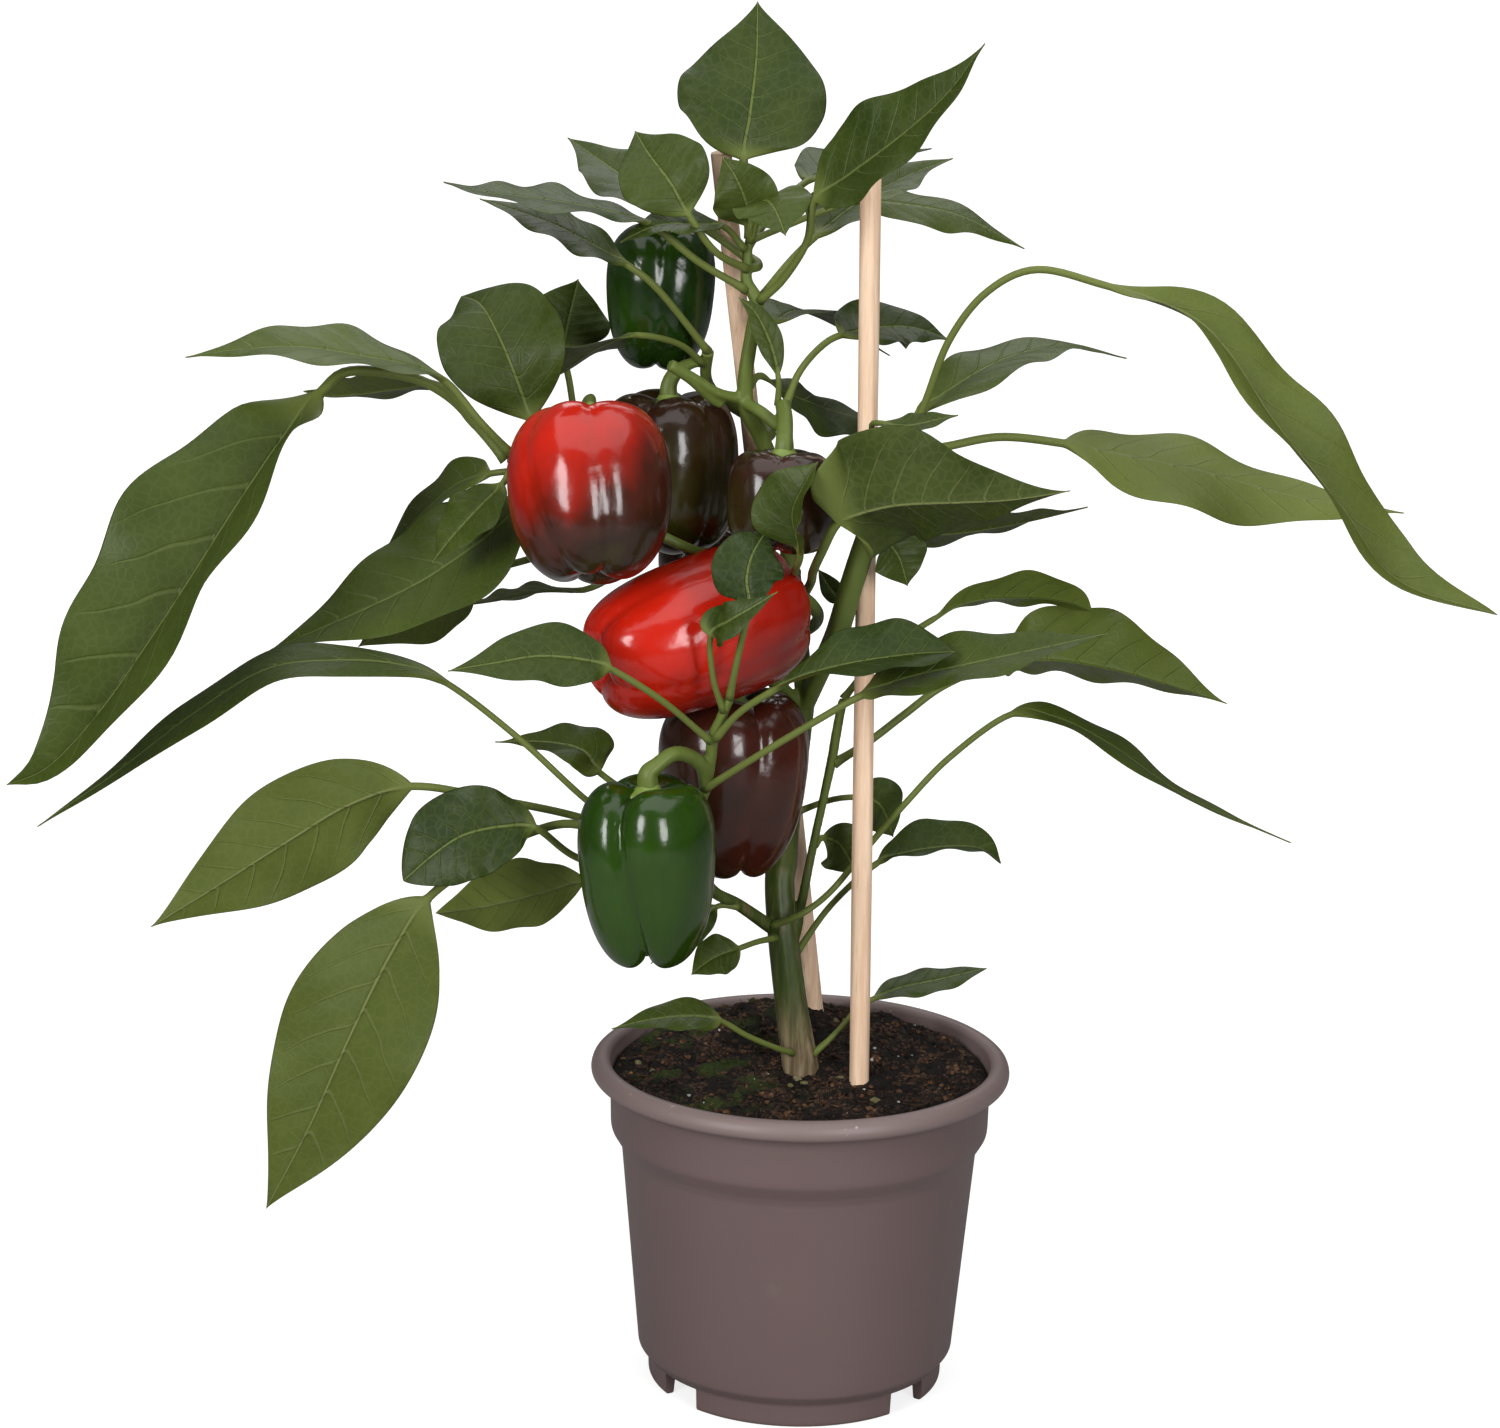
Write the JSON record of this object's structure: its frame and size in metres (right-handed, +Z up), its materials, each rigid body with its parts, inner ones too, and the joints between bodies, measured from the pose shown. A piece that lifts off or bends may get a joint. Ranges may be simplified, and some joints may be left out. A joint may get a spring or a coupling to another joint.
{
  "type": "potted sweet pepper plant",
  "caption": "Potted sweet pepper plant: a branching stem with broad leaves and glossy bell fruits, held by wooden canes in a round plastic pot",
  "frame": {"origin": "centre of the pot's underside, on the ground", "axes": "+Z up along the pot's axis, +X to the right as seen from the side that shows the most fruits, +Y away from there"},
  "size_m": [0.557, 0.24, 0.556],
  "materials": {
    "pot": "satin",
    "soil": "loose and matte",
    "cane": "bare, matte",
    "stem": "satin",
    "leaf": "satin",
    "fruit_red": "glossy",
    "fruit_green": "glossy",
    "fruit_dark": "glossy"
  },
  "bodies": {
    "root": {"cane_back": "cane", "cane_front": "cane", "fruit_brown": "fruit_dark", "fruit_dark_back": "fruit_dark", "fruit_dark_lower": "fruit_dark", "fruit_green_front": "fruit_green", "fruit_green_top": "fruit_green", "fruit_red_front": "fruit_red", "fruit_red_upper": "fruit_red", "fruit_small_brown": "fruit_dark", "leaf_centre_1": "leaf", "leaf_centre_2": "leaf", "leaf_centre_3": "leaf", "leaf_centre_4": "leaf", "leaf_centre_5": "leaf", "leaf_centre_6": "leaf", "leaf_crown_1": "leaf", "leaf_crown_10": "leaf", "leaf_crown_2": "leaf", "leaf_crown_3": "leaf", "leaf_crown_4": "leaf", "leaf_crown_5": "leaf", "leaf_crown_6": "leaf", "leaf_crown_7": "leaf", "leaf_crown_8": "leaf", "leaf_crown_9": "leaf", "leaf_left_1": "leaf", "leaf_left_2": "leaf", "leaf_left_3": "leaf", "leaf_left_4": "leaf", "leaf_left_5": "leaf", "leaf_left_6": "leaf", "leaf_left_7": "leaf", "leaf_left_8": "leaf", "leaf_left_9": "leaf", "leaf_lower_left_1": "leaf", "leaf_lower_left_2": "leaf", "leaf_lower_left_3": "leaf", "leaf_lower_left_4": "leaf", "leaf_lower_left_5": "leaf", "leaf_lower_left_6": "leaf", "leaf_lower_left_7": "leaf", "leaf_lower_right_1": "leaf", "leaf_lower_right_2": "leaf", "leaf_lower_right_3": "leaf", "leaf_lower_right_4": "leaf", "leaf_lower_right_5": "leaf", "leaf_lower_right_6": "leaf", "leaf_lower_right_7": "leaf", "leaf_lower_right_8": "leaf", "leaf_right_1": "leaf", "leaf_right_2": "leaf", "leaf_right_3": "leaf", "leaf_upper_1": "leaf", "leaf_upper_2": "leaf", "leaf_upper_3": "leaf", "leaf_upper_4": "leaf", "pot": "pot", "soil": "soil", "stem": "stem"}
  },
  "joints": []
}
